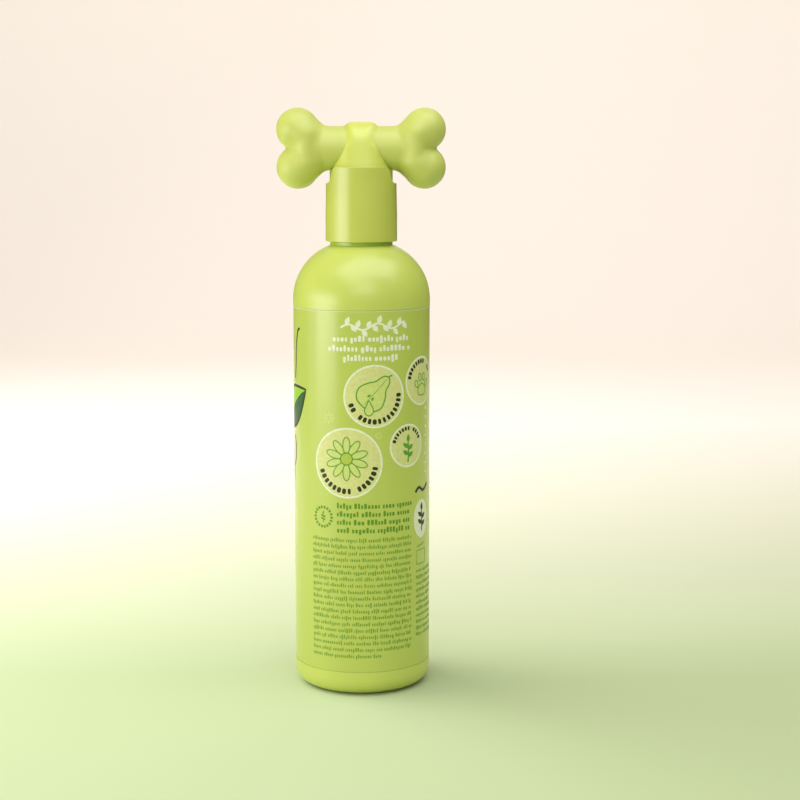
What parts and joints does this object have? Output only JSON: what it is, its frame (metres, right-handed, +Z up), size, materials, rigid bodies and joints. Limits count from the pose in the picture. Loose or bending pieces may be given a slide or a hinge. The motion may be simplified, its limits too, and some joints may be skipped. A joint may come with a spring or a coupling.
{
  "type": "pet shampoo bottle",
  "caption": "Slim round pet shampoo bottle with a wrap label and a screw closure whose bone-shaped lever rocks a dispensing valve open.",
  "frame": {"origin": "centre of the bottle's foot, on the surface it stands on", "axes": "+Z up the bottle, +X along the bone towards the spout side, -Y towards the text panel of the label"},
  "size_m": [0.0636, 0.052, 0.22],
  "materials": {
    "bottle_plastic": "satin lime green",
    "label_film": "satin printed film, leaf green",
    "liner_foam": "white foam",
    "cap_plastic": "satin yellow-green",
    "collar_plastic": "satin yellow-green",
    "seal_rubber": "soft translucent white",
    "bone_plastic": "satin yellow-green"
  },
  "bodies": {
    "bottle": {"bottle": "bottle_plastic", "label_wrap": "label_film"},
    "liner": {"neck_liner": "liner_foam"},
    "closure": {"inner_cap": "cap_plastic", "outer_collar": "collar_plastic", "valve_seal": "seal_rubber"},
    "lever": {"rocker": "cap_plastic", "saddle_strap": "bone_plastic", "bone_front_shell": "bone_plastic", "bone_rear_shell": "bone_plastic"}
  },
  "joints": [
    {"name": "cap_lift", "type": "slide", "parent": "bottle", "child": "liner", "axis": [0, 0, 1], "range_m": [0, 0.01588]},
    {"name": "cap_turn", "type": "hinge", "parent": "liner", "child": "closure", "pos_m": [0, 0, 0.18], "axis": [0, 0, 1], "range_deg": [0, 1800]},
    {"name": "bone_rock", "type": "hinge", "parent": "closure", "child": "lever", "pos_m": [0, 0, 0.1942], "axis": [0, -1, 0], "range_deg": [0, 13]}
  ],
  "couplings": [
    {"joint": "cap_lift", "follows": "cap_turn", "m_per_rad": 0.00050532}
  ]
}
